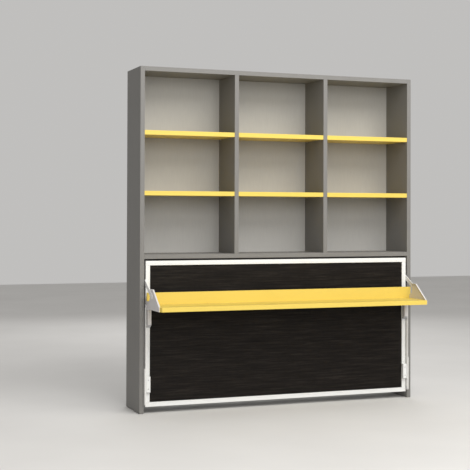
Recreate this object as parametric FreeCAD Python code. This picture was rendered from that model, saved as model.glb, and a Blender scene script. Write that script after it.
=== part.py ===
"""Horizontal wall bed with a bookcase above it and a desk on its front.

Millimetres, +Z up, front towards -Y.  X = 0 is the middle of the width, Y = 0 the
front face of the cabinet and Z = 0 the floor.  The bed is modelled closed.
"""
import FreeCAD, Part
import math
import os

from FreeCAD import Vector

# ---- Cabinet -------------------------------------------------------------------
WIDTH = 2040.0
HEIGHT = 2307.0
DEPTH = 325.0
BOARD = 30.0                    # thickness of every cabinet board and shelf
EDGE_ROUND = 0.8                # rounding of the edge banding
DIVIDER_X = 335.0               # centre of each divider, left and right
BED_BOARD_Z = 1025.0            # underside of the board over the bed
SHELF_Z = {"lower": 1448.0, "upper": 1852.0}
SHELF_SETBACK = 1.0
SHELF_PLAY = 0.5                # gap at each end of a loose shelf
BACK_T = 8.0
BACK_Y = 312.0                  # front face of the bookcase back
RAIL_T = 19.0                   # rear rails behind the bed
LOWER_RAIL_Z = (60.0, 180.0)
UPPER_RAIL_H = 100.0
WALL_HOLE_R = 4.2
WALL_HOLE_X = 600.0
GLIDE_H = 3.0
GLIDE_R = 12.0
GLIDE_STEM_R = 4.0
GLIDE_STEM = 20.0
GLIDE_Y = (30.0, DEPTH - 30.0)
PIN_R = 2.5                     # shelf pins
PIN_IN = 8.0
PIN_OUT = 8.0
PIN_Y = (45.0, 270.0)
CAM_R = 7.5
CAM_DEEP = 12.5
CAM_FROM_END = 34.0
CAM_Y = (50.0, 265.0)
BOLT_R = 3.5
BOLT_IN_PANEL = 11.0
BOLT_COVER = 1.0                # between a bolt and the bottom of its cam
RAIL_BOLT_INSET = 30.0

# ---- Bed -----------------------------------------------------------------------
FRAME_HALF_X = 979.5            # half length over the frame
FRAME_Z = (45.0, 1012.0)
TUBE_W = 30.0                   # seen from the front
TUBE_D = 50.0
TUBE_WALL = 2.0
TUBE_ROUND = 2.5
GROOVE_W = 1.6
GROOVE_DEEP = 1.0
GROOVE_FROM_INNER = 10.0
CAP_T = 2.0
CAP_PLUG = 14.0                 # from the frame's end to the plug's end
CAP_FIT = 0.1
FRONT_PANEL_T = 16.0
FRONT_PANEL_RECESS = 5.0
SHADOW_GAP = 3.0
CLIP_T = 1.5
CLIP_W = 40.0
CLIP_LEG = 22.0
CLIP_WALL = 12.0
CLIP_X = (-700.0, 0.0, 700.0)
CLIP_Z = (300.0, 760.0)
SLAT_COUNT = 16
SLAT_PITCH = 116.0
SLAT_W = 68.0
SLAT_T = 8.0
SLAT_Y = 38.0
SLAT_FIT = 0.2
SLAT_END_GAP = 8.0
SLAT_ROUND = 2.0
HOLDER_ROUND = 1.2
HOLDER_DEEP = 26.0
HOLDER_W = 78.0
HOLDER_WALL = 1.5
BEAM_Y = (23.5, 37.0)
BEAM_H = 40.0
MATTRESS_T = 170.0
MATTRESS_HALF_X = 947.0
MATTRESS_Z = (81.5, 976.0)
MATTRESS_Y = 48.0
MATTRESS_ROUND = 22.0
STRAP_X = 480.0
STRAP_W = 40.0
STRAP_T = 2.0
STRAP_GAP = 0.5
STRAP_INSET = 6.0               # from the strap's end to the frame's edge
GUARD_ROD_R = 5.0
GUARD_X = (560.0, 750.0)
GUARD_Z = 69.0
GUARD_REACH = 190.0
GUARD_BEND = 40.0

# ---- Fold: main pivot A, desk pivot B, link pivots C and D as (y, z) --------------
PIVOT_A = (15.0, 235.0)
LINK_LENGTH = 640.0
LINK_OFFSET = (-27.0, -160.0)   # from A to C and from B to D
PIVOT_B = (PIVOT_A[0], PIVOT_A[1] + LINK_LENGTH)
PIVOT_C = (PIVOT_A[0] + LINK_OFFSET[0], PIVOT_A[1] + LINK_OFFSET[1])
PIVOT_D = (PIVOT_B[0] + LINK_OFFSET[0], PIVOT_B[1] + LINK_OFFSET[1])
RUNNING = 0.05                  # radial clearance of a pin in its bush
OPEN_PIVOT_PLAY = 0.5           # radial clearance of the link's upper pin
MAIN_PIN_R = 8.0
MAIN_BUSH_R = 11.0
LINK_PIN_R = 5.0
DESK_PIN_R = 6.0

# Depths of the layers between side panel and bed, measured from the panel
HINGE_PLATE_X = (0.0, 3.5)
LINK_X = (4.5, 8.5)
ARM_X = (6.0, 10.0)
END_PLATE_X = (10.0, 14.0)
HINGE_PLATE_Y = (-24.0, 62.0)
HINGE_PLATE_Z = (58.0, 300.0)
HINGE_PLATE_ROUND = 12.0
HINGE_SCREWS = ((30.0, 100.0), (48.0, 180.0), (30.0, 285.0), (48.0, 262.0))
HINGE_SCREW_LENGTH = 28.0
LINK_W = 25.0
PIN_HEAD_T = 1.2
PIN_HEAD_R = 9.0
HEAD_GAP = 0.3                  # between a pin's head and the moving bar
OPEN_HEAD_GAP = 0.4
MAIN_PIN_END = 34.0
COVER_Z = (142.0, 247.0)
COVER_PROUD = 20.0
COVER_WALL = 3.0
COVER_ROUND = 4.0
COVER_SCREW_Z = (165.0, 224.0)
COVER_SCREW_LENGTH = 21.5
STOP_Z = (930.0, 980.0)
STOP_W = 32.0
STOP_T = 3.0
STOP_GAP = 0.5                  # between buffer and closed frame
BUFFER_X = 24.0
BUFFER_R = 9.0
BUFFER_T = 8.0

# ---- Legs ----------------------------------------------------------------------
LEG_X = (14.5, 39.5)            # from the side panel
LEG_Y = (-36.0, -2.0)
LEG_WALL = 2.5
LEG_PIVOT = (-19.0, 771.0)
LEG_LENGTH = 200.0              # from its pivot to the floor when open
LEG_TOP_R = 17.0
LEG_PIN_R = 4.0
FOOT_H = 22.0
FOOT_SOLE = 9.0
FOOT_SLOPE = 13.0
LUG_T = 5.0
LUG_R = 11.0
LUG_BASE_T = 3.0
LUG_BASE_W = 14.0
LUG_BASE_H = 44.0
FOOT_FIT = 0.1
FOOT_FLAT = 8.0                 # of the sole, behind its slope
CHANNEL_OPEN = 40.0             # the channel's top is open over this height

# ---- Desk ----------------------------------------------------------------------
DESK_Z = 697.0                  # underside of the desk top
DESK_T = 30.0
BACKBOARD_T = 22.0
BACKBOARD_Y = -60.0             # front face of the upright board
BACKBOARD_TOP = 805.0
BACKBOARD_END = 4.0             # its upper part ends this far from the side panel
DESK_SLANT = 11.0               # the front corners are cut back this far in X
END_PLATE_TOP = 832.0
END_PLATE_FRONT = (-302.0, 722.0)   # where the front edge starts to slope
END_PLATE_SHOULDER_Y = -158.0   # where the slope reaches the top
END_PLATE_REAR_TOP = 748.0
END_PLATE_EAR_Y = -3.0
END_PLATE_NOTCH = (-96.0, -72.0)    # step down behind the arm
FLANGE_W = 10.0
FLANGE_T = 3.0
FLANGE_CLEAR = 0.5              # over the desk top
END_PLATE_STEP = 20.0
END_PLATE_EAR_DROP = 7.0
BACKBOARD_NOTCH = 2.0           # its ends start this far over the end plate's rear
DESK_SCREW_Y = (-280.0, -190.0, -100.0)
DESK_SCREW_LENGTH = 44.0
BACKBOARD_SCREW_Z = 735.0
ARM_W = 30.0
ARM_SLOPE = math.radians(29.0)
ARM_REACH = 185.0               # from pivot B down to the arm's lower end
ARM_SCREWS = (148.0, 180.0)

# ---- Gas struts ----------------------------------------------------------------
STRUT_X = 24.0                  # strut centre from the side panel
STRUT_FIXED = (130.0, 690.0)
STRUT_MOVING = (88.0, 185.0)
BARREL_R = 11.0
ROD_R = 5.0
ROD_PLAY = 0.2
EYE_R = 8.5
EYE_T = 12.0
STUD_R = 4.0
BARREL_LENGTH = 300.0
BARREL_CAP = 20.0
EYE_NECK = 16.0
NECK_R = 4.5
NECK_OVERLAP = 2.0
ROD_INSERTED = 60.0
STUD_PROUD = 2.0
EYE_PLAY = 0.5                  # each side of an eye on its anchor
ANCHOR_T = 4.0
ANCHOR_SIZE = (20.0, 30.0)      # half size in Y and Z
ANCHOR_ROUND = 8.0
COLLAR_R = 7.0
STUD_HEAD_R = 6.5
STUD_HEAD_T = 2.0
BRACKET_GAP = 2.6               # from the lower eye to its bracket
BRACKET_T = 3.5
BRACKET_BASE_X = 14.0
BRACKET_BASE_T = 3.0
BRACKET_REACH = 20.0            # behind the eye's centre
BRACKET_Z = (-30.0, 60.0)       # from the eye's centre

# ---- Fasteners -----------------------------------------------------------------
PAST = 1.0                      # how far a cutter runs past its piece
SCREW_R = 2.5
SCREW_HEAD_R = 4.6
SCREW_HEAD_T = 2.1
RECESS_W = 1.1                  # cross recess in each head
RECESS_LENGTH = 5.0
RECESS_DEEP = 1.4

HALF = WIDTH / 2.0
INNER = HALF - BOARD            # inner face of a side panel
OPENING_HALF_X = FRAME_HALF_X - TUBE_W
OPENING_Z = (FRAME_Z[0] + TUBE_W, FRAME_Z[1] - TUBE_W)


def box(x, y, z):
    """Block from pairs of limits."""
    size = (x[1] - x[0], y[1] - y[0], z[1] - z[0])
    return Part.makeBox(*size, Vector(x[0], y[0], z[0]))


def long_edges(shape, direction):
    """Straight edges of a shape that run along a direction."""
    found = []
    for edge in shape.Edges:
        run = edge.Vertexes[-1].Point.sub(edge.Vertexes[0].Point)
        if run.Length > 0 and abs(run.normalize().dot(direction)) > 0.999:
            found.append(edge)
    return found


def board(x, y, z):
    """Board with every edge slightly rounded."""
    blank = box(x, y, z)
    return blank.makeFillet(EDGE_ROUND, blank.Edges)


def rod_x(radius, x, y, z):
    """Round bar along X from x[0] to x[1]."""
    return Part.makeCylinder(radius, x[1] - x[0], Vector(x[0], y, z), Vector(1, 0, 0))


def rod_y(radius, x, y, z):
    """Round bar along Y from y[0] to y[1]."""
    return Part.makeCylinder(radius, y[1] - y[0], Vector(x, y[0], z), Vector(0, 1, 0))


def rod_z(radius, x, y, z):
    """Round bar along Z from z[0] to z[1]."""
    return Part.makeCylinder(radius, z[1] - z[0], Vector(x, y, z[0]), Vector(0, 0, 1))


def profile_x(x, outline):
    """Plate with an outline of (y, z) points, thick from x[0] to x[1]."""
    points = [Vector(x[0], y, z) for y, z in outline]
    face = Part.Face(Part.makePolygon(points + points[:1]))
    return face.extrude(Vector(x[1] - x[0], 0, 0))


def mirrored(shape):
    """The same piece for the other side of the bed."""
    return shape.mirror(Vector(0, 0, 0), Vector(1, 0, 0))


def on_left(x):
    """Limits given from the left side panel's inner face, in the part's own X."""
    return (x[0] - INNER, x[1] - INNER)


def pair(shape):
    """A left piece and its mirror image."""
    return [shape, mirrored(shape)]


def export(name, shapes):
    """Write one node: a single solid, or a group of separate ones."""
    group = shapes if isinstance(shapes, list) else [shapes]
    solids = [solid for shape in group for solid in shape.Solids]
    node = solids[0] if len(solids) == 1 else Part.makeCompound(solids)
    node.exportStep("parts/" + name + ".step")


def export_sides(name, shape):
    """Write the left and the right piece as two nodes."""
    export(name + "_left", shape)
    export(name + "_right", mirrored(shape))


def joined(shapes):
    """One solid from overlapping pieces."""
    result = shapes[0]
    for shape in shapes[1:]:
        result = result.fuse(shape)
    return result.removeSplitter()


def drilled(shape, cutters):
    """A shape with every cutter taken out of it."""
    for cutter in cutters:
        if shape.BoundBox.intersect(cutter.BoundBox):
            shape = shape.cut(cutter)
    return shape


def screw(point, direction, length, finished=False):
    """Countersunk screw, head flush at a point; the finished one has its cross recess."""
    head = Part.makeCone(SCREW_HEAD_R, SCREW_R, SCREW_HEAD_T)
    made = joined([head, Part.makeCylinder(SCREW_R, length)])
    if finished:
        arm = RECESS_LENGTH / 2.0
        half = RECESS_W / 2.0
        depth = (-PAST, RECESS_DEEP)
        cross = box((-arm, arm), (-half, half), depth)
        made = made.cut(cross.fuse(box((-half, half), (-arm, arm), depth)))
    made.Placement = FreeCAD.Placement(point, FreeCAD.Rotation(Vector(0, 0, 1), direction))
    return made


def both_sides(pieces):
    """Every left piece followed by its mirror image."""
    return [piece for left in pieces for piece in pair(left)]


# ---- Cabinet -------------------------------------------------------------------
def cross_boards():
    """Boards fixed between the side panels, as node name to limits."""
    across = (-INNER, INNER)
    upper_rail = (BED_BOARD_Z - UPPER_RAIL_H, BED_BOARD_Z)
    return {
        "top_panel": (across, (0, DEPTH), (HEIGHT - BOARD, HEIGHT)),
        "bed_top_board": (across, (0, DEPTH), (BED_BOARD_Z, BED_BOARD_Z + BOARD)),
        "rear_rail_upper": (across, (DEPTH - RAIL_T, DEPTH), upper_rail),
        "rear_rail_lower": (across, (DEPTH - RAIL_T, DEPTH), LOWER_RAIL_Z),
    }


def fittings():
    """Cams and connecting bolts of the cross boards on the left side."""
    cams = []
    bolts = []
    cam_x = CAM_FROM_END - INNER
    bolt_x = (-INNER - BOLT_IN_PANEL, cam_x - CAM_R)
    bolt_deep = CAM_DEEP - BOLT_R - BOLT_COVER
    for bottom in (HEIGHT - BOARD, BED_BOARD_Z):
        for y in CAM_Y:
            cams.append(rod_z(CAM_R, cam_x, y, (bottom, bottom + CAM_DEEP)))
            bolts.append(rod_x(BOLT_R, bolt_x, y, bottom + bolt_deep))
    rail_front = DEPTH - RAIL_T
    for low, high in (LOWER_RAIL_Z, (BED_BOARD_Z - UPPER_RAIL_H, BED_BOARD_Z)):
        for z in (low + RAIL_BOLT_INSET, high - RAIL_BOLT_INSET):
            cams.append(rod_y(CAM_R, cam_x, (rail_front, rail_front + CAM_DEEP), z))
            bolts.append(rod_x(BOLT_R, bolt_x, rail_front + bolt_deep, z))
    return cams, bolts


def bays():
    """Clear width of each bookcase bay, as name to X limits."""
    half = BOARD / 2.0
    return {
        "left": (-INNER, -DIVIDER_X - half),
        "middle": (-DIVIDER_X + half, DIVIDER_X - half),
        "right": (DIVIDER_X + half, INNER),
    }


def shelf_pins():
    """Pins that carry the loose shelves, four to a shelf."""
    pins = []
    for shelf_z in SHELF_Z.values():
        z = shelf_z - PIN_R
        for low, high in bays().values():
            for y in PIN_Y:
                pins.append(rod_x(PIN_R, (low - PIN_IN, low + PIN_OUT), y, z))
                pins.append(rod_x(PIN_R, (high - PIN_OUT, high + PIN_IN), y, z))
    return pins


def glides():
    """Glides with a stem, two under each side panel."""
    made = []
    x = -HALF + BOARD / 2.0
    for y in GLIDE_Y:
        foot = rod_z(GLIDE_R, x, y, (0, GLIDE_H))
        made += pair(joined([foot, rod_z(GLIDE_STEM_R, x, y, (0, GLIDE_H + GLIDE_STEM))]))
    return made


def hinge_plate():
    """Left fixed plate with holes for pivots A and C."""
    x = on_left(HINGE_PLATE_X)
    plate = box(x, HINGE_PLATE_Y, HINGE_PLATE_Z)
    corners = long_edges(plate, Vector(1, 0, 0))
    return plate.makeFillet(HINGE_PLATE_ROUND, corners)


def hinge_screws(finished=False):
    """Screws of the left hinge plate."""
    x = on_left(HINGE_PLATE_X)[1]
    inwards = Vector(-1, 0, 0)
    return [
        screw(Vector(x, y, z), inwards, HINGE_SCREW_LENGTH, finished) for y, z in HINGE_SCREWS
    ]


def cabinet_pins():
    """Left main pivot pin and lower link pin."""
    main = rod_x(MAIN_PIN_R, on_left((0, MAIN_PIN_END)), *PIVOT_A)
    neck = LINK_X[1] + HEAD_GAP
    shank = rod_x(LINK_PIN_R, on_left((0, neck)), *PIVOT_C)
    link = joined([shank, rod_x(PIN_HEAD_R, on_left((neck, neck + PIN_HEAD_T)), *PIVOT_C)])
    return [main, link]


def closing_stop():
    """Left bracket and rubber buffer that the closed frame rests on."""
    front = TUBE_D + STOP_GAP
    y0 = front + BUFFER_T
    wall = box(on_left((0, STOP_T)), (y0, y0 + STOP_W), STOP_Z)
    face = box(on_left((0, STOP_W)), (y0, y0 + STOP_T), STOP_Z)
    buffer = rod_y(BUFFER_R, BUFFER_X - INNER, (front, y0), sum(STOP_Z) / 2.0)
    return joined([wall, face]), buffer


def strut_anchor():
    """Left plate and stud that carry the gas strut's barrel."""
    y, z = STRUT_FIXED
    half_y, half_z = ANCHOR_SIZE
    plate_x = on_left((0, ANCHOR_T))
    plate = box(plate_x, (y - half_y, y + half_y), (z - half_z, z + half_z))
    plate = plate.makeFillet(ANCHOR_ROUND, long_edges(plate, Vector(1, 0, 0)))
    start = STRUT_X - EYE_T / 2.0 - EYE_PLAY
    end = STRUT_X + EYE_T / 2.0 + EYE_PLAY
    stud = rod_x(STUD_R, on_left((ANCHOR_T, end)), y, z)
    collar = rod_x(COLLAR_R, on_left((ANCHOR_T, start)), y, z)
    head = rod_x(STUD_HEAD_R, on_left((end, end + STUD_HEAD_T)), y, z)
    return joined([plate, collar, stud, head])


def make_cabinet():
    """Write every node that stands still."""
    cams, bolts = fittings()
    pins = shelf_pins()
    feet = glides()
    fixed_screws = hinge_screws()
    fixed_pins = cabinet_pins()
    holes = both_sides(cams + bolts + fixed_screws)
    panel = board((-HALF, -INNER), (0, DEPTH), (GLIDE_H, HEIGHT))
    panel = drilled(panel, holes + pins + feet)
    export_sides("side_panel", panel)
    wall_holes = []
    hole_y = (DEPTH - RAIL_T - PAST, DEPTH + PAST)
    for x in (-WALL_HOLE_X, WALL_HOLE_X):
        for z in (sum(LOWER_RAIL_Z) / 2.0, BED_BOARD_Z - UPPER_RAIL_H / 2.0):
            wall_holes.append(rod_y(WALL_HOLE_R, x, hole_y, z))
    for name, limits in cross_boards().items():
        export(name, drilled(board(*limits), holes + wall_holes))
    half = BOARD / 2.0
    divider_z = (BED_BOARD_Z + BOARD, HEIGHT - BOARD)
    divider = board((-DIVIDER_X - half, -DIVIDER_X + half), (0, BACK_Y), divider_z)
    export_sides("divider", drilled(divider, pins))
    for row, z in SHELF_Z.items():
        for bay, (low, high) in bays().items():
            x = (low + SHELF_PLAY, high - SHELF_PLAY)
            shelf = board(x, (SHELF_SETBACK, BACK_Y - SHELF_PLAY), (z, z + BOARD))
            export("shelf_" + row + "_" + bay, shelf)
    export("back_panel", box((-INNER, INNER), (BACK_Y, BACK_Y + BACK_T), divider_z))
    export("shelf_pins", pins)
    export("cam_fittings", both_sides(cams + bolts))
    export("levelling_glides", feet)
    plate = drilled(hinge_plate(), fixed_screws + fixed_pins)
    export("hinge_plates", pair(plate))
    export("hinge_plate_screws", both_sides(hinge_screws(True)))
    export("cabinet_pivot_pins", both_sides(fixed_pins))
    stop, buffer = closing_stop()
    export("closing_stops", pair(stop))
    export("stop_buffers", pair(buffer))
    export("strut_anchors", pair(strut_anchor()))


# ---- Bed -----------------------------------------------------------------------
def tube(x, y, z, along):
    """Rectangular tube along one axis, open at both ends."""
    outer = box(x, y, z)
    outer = outer.makeFillet(TUBE_ROUND, long_edges(outer, along))
    limits = []
    for low, high, run in ((*x, along.x), (*y, along.y), (*z, along.z)):
        step = -PAST if run else TUBE_WALL
        limits.append((low + step, high - step))
    return outer.cut(box(*limits))


def frame_rail(z, groove_z):
    """Long frame member with the fine groove on its front face."""
    x = (-FRAME_HALF_X + CAP_T, FRAME_HALF_X - CAP_T)
    rail = tube(x, (0, TUBE_D), z, Vector(1, 0, 0))
    groove = box(x, (-PAST, GROOVE_DEEP), (groove_z, groove_z + GROOVE_W))
    return rail.cut(groove)


def frame_upright():
    """Left upright between the long members, with the holes for its pins."""
    x = (-FRAME_HALF_X, -OPENING_HALF_X)
    upright = tube(x, (0, TUBE_D), OPENING_Z, Vector(0, 0, 1))
    groove_x = -OPENING_HALF_X - GROOVE_FROM_INNER
    groove = box((groove_x, groove_x + GROOVE_W), (-PAST, GROOVE_DEEP), OPENING_Z)
    return drilled(upright.cut(groove), [main_bush(False), desk_pin()])


def end_caps():
    """Plastic plugs in the ends of the two long members, left side."""
    caps = []
    for low in (FRAME_Z[0], FRAME_Z[1] - TUBE_W):
        z = (low, low + TUBE_W)
        lid = box((-FRAME_HALF_X, -FRAME_HALF_X + CAP_T), (0, TUBE_D), z)
        lid = lid.makeFillet(TUBE_ROUND, long_edges(lid, Vector(1, 0, 0)))
        inset = TUBE_WALL + CAP_FIT
        plug = box(
            (-FRAME_HALF_X + CAP_T, -FRAME_HALF_X + CAP_PLUG),
            (inset, TUBE_D - inset),
            (z[0] + inset, z[1] - inset),
        )
        caps.append(joined([lid, plug]))
    return caps


def main_bush(bored=True):
    """Left flanged bush that turns on the main pivot pin."""
    x = (-FRAME_HALF_X, -OPENING_HALF_X)
    body = rod_x(MAIN_BUSH_R, x, *PIVOT_A)
    if not bored:
        return body
    return body.cut(rod_x(MAIN_PIN_R + RUNNING, (x[0] - PAST, x[1] + PAST), *PIVOT_A))


def desk_pin():
    """Left pin that carries the desk's arm."""
    neck = ARM_X[0] - HEAD_GAP
    x = on_left((neck, INNER - OPENING_HALF_X))
    head = on_left((neck - PIN_HEAD_T, neck))
    return joined([rod_x(DESK_PIN_R, x, *PIVOT_B), rod_x(PIN_HEAD_R, head, *PIVOT_B)])


def leg_lug():
    """Left lug on the front of the upright, and the pin through the leg's cheeks."""
    middle = sum(LEG_X) / 2.0
    y, z = LEG_PIVOT
    base_x = on_left((middle - LUG_BASE_W / 2.0, middle + LUG_BASE_W / 2.0))
    base_z = (z - LUG_BASE_H / 2.0, z + LUG_BASE_H / 2.0)
    base = box(base_x, (-LUG_BASE_T, 0), base_z)
    x = on_left((middle - LUG_T / 2.0, middle + LUG_T / 2.0))
    tongue = joined([box(x, (y, 0), (z - LUG_R, z + LUG_R)), rod_x(LUG_R, x, y, z)])
    pin = rod_x(LEG_PIN_R, on_left(LEG_X), y, z)
    lug = joined([base, tongue])
    return lug.cut(pin), pin


def panel_clips():
    """Angle clips that hold the front panel inside the frame."""
    back = FRONT_PANEL_RECESS + FRONT_PANEL_T
    wall_y = (back, back + CLIP_WALL)
    leg_y = (back, back + CLIP_T)
    clips = []
    for x in CLIP_X:
        for inner, step in ((OPENING_Z[0], 1), (OPENING_Z[1], -1)):
            z_wall = sorted((inner, inner + step * CLIP_T))
            z_leg = sorted((inner, inner + step * CLIP_LEG))
            span = (x - CLIP_W / 2.0, x + CLIP_W / 2.0)
            clips.append(joined([box(span, wall_y, z_wall), box(span, leg_y, z_leg)]))
    for z in CLIP_Z:
        span = (z - CLIP_W / 2.0, z + CLIP_W / 2.0)
        x0 = -OPENING_HALF_X
        wall = box((x0, x0 + CLIP_T), wall_y, span)
        leg = box((x0, x0 + CLIP_LEG), leg_y, span)
        clips += pair(joined([wall, leg]))
    return clips


def slat_centres():
    """X of each slat."""
    first = -SLAT_PITCH * (SLAT_COUNT - 1) / 2.0
    return [first + SLAT_PITCH * index for index in range(SLAT_COUNT)]


def slats_and_holders():
    """Cross slats, and a plastic pocket for each of their ends."""
    ends = (OPENING_Z[0] + SLAT_END_GAP, OPENING_Z[1] - SLAT_END_GAP)
    outside_y = (SLAT_Y - HOLDER_WALL, SLAT_Y + SLAT_T + HOLDER_WALL)
    slats = []
    holders = []
    for x in slat_centres():
        half = SLAT_W / 2.0
        slat = box((x - half, x + half), (SLAT_Y, SLAT_Y + SLAT_T), ends)
        slat = slat.makeFillet(SLAT_ROUND, long_edges(slat, Vector(0, 0, 1)))
        slats.append(slat)
        room = box(
            (x - half - SLAT_FIT, x + half + SLAT_FIT),
            (SLAT_Y - SLAT_FIT, SLAT_Y + SLAT_T + SLAT_FIT),
            (ends[0] - SLAT_FIT, ends[1] + SLAT_FIT),
        )
        wide = (x - HOLDER_W / 2.0, x + HOLDER_W / 2.0)
        for low in (OPENING_Z[0], OPENING_Z[1] - HOLDER_DEEP):
            pocket = box(wide, outside_y, (low, low + HOLDER_DEEP))
            pocket = pocket.makeFillet(HOLDER_ROUND, long_edges(pocket, Vector(0, 0, 1)))
            holders.append(pocket.cut(room))
    return slats, holders


def mattress_strap():
    """Left elastic strap round the mattress, fixed behind the long members."""
    x = (-STRAP_X - STRAP_W / 2.0, -STRAP_X + STRAP_W / 2.0)
    back = MATTRESS_Y + MATTRESS_T + STRAP_GAP
    low = MATTRESS_Z[0] - STRAP_GAP
    high = MATTRESS_Z[1] + STRAP_GAP
    t = STRAP_T
    outline = [
        (TUBE_D, FRAME_Z[0] + STRAP_INSET),
        (TUBE_D + t, FRAME_Z[0] + STRAP_INSET),
        (TUBE_D + t, low - t),
        (back + t, low - t),
        (back + t, high + t),
        (TUBE_D + t, high + t),
        (TUBE_D + t, FRAME_Z[1] - STRAP_INSET),
        (TUBE_D, FRAME_Z[1] - STRAP_INSET),
        (TUBE_D, high),
        (back, high),
        (back, low),
        (TUBE_D, low),
    ]
    return profile_x(x, outline)


def mattress_guard():
    """Left bent rod under the mattress edge that stands on it when the bed is closed."""
    near, far = (-GUARD_X[1], -GUARD_X[0])
    r = GUARD_BEND
    reach = GUARD_REACH
    corner = r * (1.0 - math.sqrt(0.5))

    def at(x, y):
        return Vector(x, y, GUARD_Z)

    edges = [
        Part.LineSegment(at(near, TUBE_D), at(near, reach - r)).toShape(),
        Part.Arc(
            at(near, reach - r), at(near + corner, reach - corner), at(near + r, reach)
        ).toShape(),
        Part.LineSegment(at(near + r, reach), at(far - r, reach)).toShape(),
        Part.Arc(
            at(far - r, reach), at(far - corner, reach - corner), at(far, reach - r)
        ).toShape(),
        Part.LineSegment(at(far, reach - r), at(far, TUBE_D)).toShape(),
    ]
    ring = Part.makeCircle(GUARD_ROD_R, at(near, TUBE_D), Vector(0, 1, 0))
    return Part.Wire(edges).makePipeShell([Part.Wire([ring])], True, False)


def pivot_cover(finished=False):
    """Left housing over the upright at the main pivot, and its two screws."""
    x = (-FRAME_HALF_X, -OPENING_HALF_X)
    shell = box(x, (-COVER_PROUD, 0), COVER_Z)
    front = [edge for edge in shell.Edges if edge.BoundBox.YMax < -PAST]
    shell = shell.makeFillet(COVER_ROUND, front)
    w = COVER_WALL
    inside_z = (COVER_Z[0] + w, COVER_Z[1] - w)
    shell = shell.cut(box((x[0] + w, x[1] - w), (w - COVER_PROUD, PAST), inside_z))
    middle = sum(x) / 2.0
    screws = []
    for z in COVER_SCREW_Z:
        point = Vector(middle, -COVER_PROUD, z)
        screws.append(screw(point, Vector(0, 1, 0), COVER_SCREW_LENGTH, finished))
    return drilled(shell, screws), screws


def strut_bracket():
    """Left bracket behind the upright that faces the strut's lower eye."""
    y, z = STRUT_MOVING
    face = STRUT_X + EYE_T / 2.0 + BRACKET_GAP
    outer = face + BRACKET_T
    tall = (z + BRACKET_Z[0], z + BRACKET_Z[1])
    side = box(on_left((face, outer)), (TUBE_D, y + BRACKET_REACH), tall)
    base_y = (TUBE_D, TUBE_D + BRACKET_BASE_T)
    return joined([side, box(on_left((BRACKET_BASE_X, outer)), base_y, tall)])


def make_bed():
    """Write every node that folds down with the bed."""
    bottom = (FRAME_Z[0], OPENING_Z[0])
    top = (OPENING_Z[1], FRAME_Z[1])
    cover, cover_screws = pivot_cover()
    bottom_groove = OPENING_Z[0] - GROOVE_FROM_INNER - GROOVE_W
    export("frame_bottom_rail", frame_rail(bottom, bottom_groove))
    export("frame_top_rail", frame_rail(top, OPENING_Z[1] + GROOVE_FROM_INNER))
    export_sides("frame_upright", drilled(frame_upright(), cover_screws))
    export("frame_end_caps", both_sides(end_caps()))
    gap = SHADOW_GAP
    export("front_panel", board(
        (-OPENING_HALF_X + gap, OPENING_HALF_X - gap),
        (FRONT_PANEL_RECESS, FRONT_PANEL_RECESS + FRONT_PANEL_T),
        (OPENING_Z[0] + gap, OPENING_Z[1] - gap),
    ))
    export("front_panel_clips", panel_clips())
    slats, holders = slats_and_holders()
    export("slats", slats)
    export("slat_holders", holders)
    middle = sum(OPENING_Z) / 2.0
    beam_z = (middle - BEAM_H / 2.0, middle + BEAM_H / 2.0)
    beam_x = (-OPENING_HALF_X, OPENING_HALF_X)
    export("centre_beam", tube(beam_x, BEAM_Y, beam_z, Vector(1, 0, 0)))
    mattress = box(
        (-MATTRESS_HALF_X, MATTRESS_HALF_X),
        (MATTRESS_Y, MATTRESS_Y + MATTRESS_T),
        MATTRESS_Z,
    )
    upright_edges = long_edges(mattress, Vector(0, 1, 0))
    export("mattress", mattress.makeFillet(MATTRESS_ROUND, upright_edges))
    export("mattress_straps", pair(mattress_strap()))
    export("mattress_guards", pair(mattress_guard()))
    export("pivot_covers", pair(cover))
    export("pivot_cover_screws", both_sides(pivot_cover(True)[1]))
    export("pivot_bushes", pair(main_bush()))
    lug, leg_pin = leg_lug()
    export("frame_pivot_pins", both_sides([desk_pin(), leg_pin]))
    export("leg_lugs", pair(lug))
    export("strut_brackets", pair(strut_bracket()))


# ---- Desk ----------------------------------------------------------------------
def arm_direction():
    """Unit (y, z) from pivot B down along the arm."""
    return (-math.cos(ARM_SLOPE), -math.sin(ARM_SLOPE))


def arm_point(along):
    """Point (y, z) on the arm's middle line."""
    dy, dz = arm_direction()
    return (PIVOT_B[0] + along * dy, PIVOT_B[1] + along * dz)


def bar(x, start, end, width):
    """Flat bar with round ends between two (y, z) points."""
    dy = end[0] - start[0]
    dz = end[1] - start[1]
    length = math.hypot(dy, dz)
    side_y = -dz / length * width / 2.0
    side_z = dy / length * width / 2.0
    body = profile_x(x, [
        (start[0] + side_y, start[1] + side_z),
        (end[0] + side_y, end[1] + side_z),
        (end[0] - side_y, end[1] - side_z),
        (start[0] - side_y, start[1] - side_z),
    ])
    ends = [rod_x(width / 2.0, x, *point) for point in (start, end)]
    return joined([body] + ends)


def desk_arm():
    """Left arm from pivot B to the end plate."""
    arm = bar(on_left(ARM_X), PIVOT_B, arm_point(ARM_REACH), ARM_W)
    hole = rod_x(DESK_PIN_R + RUNNING, on_left((0, ARM_X[1] + PAST)), *PIVOT_B)
    return arm.cut(hole)


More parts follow.
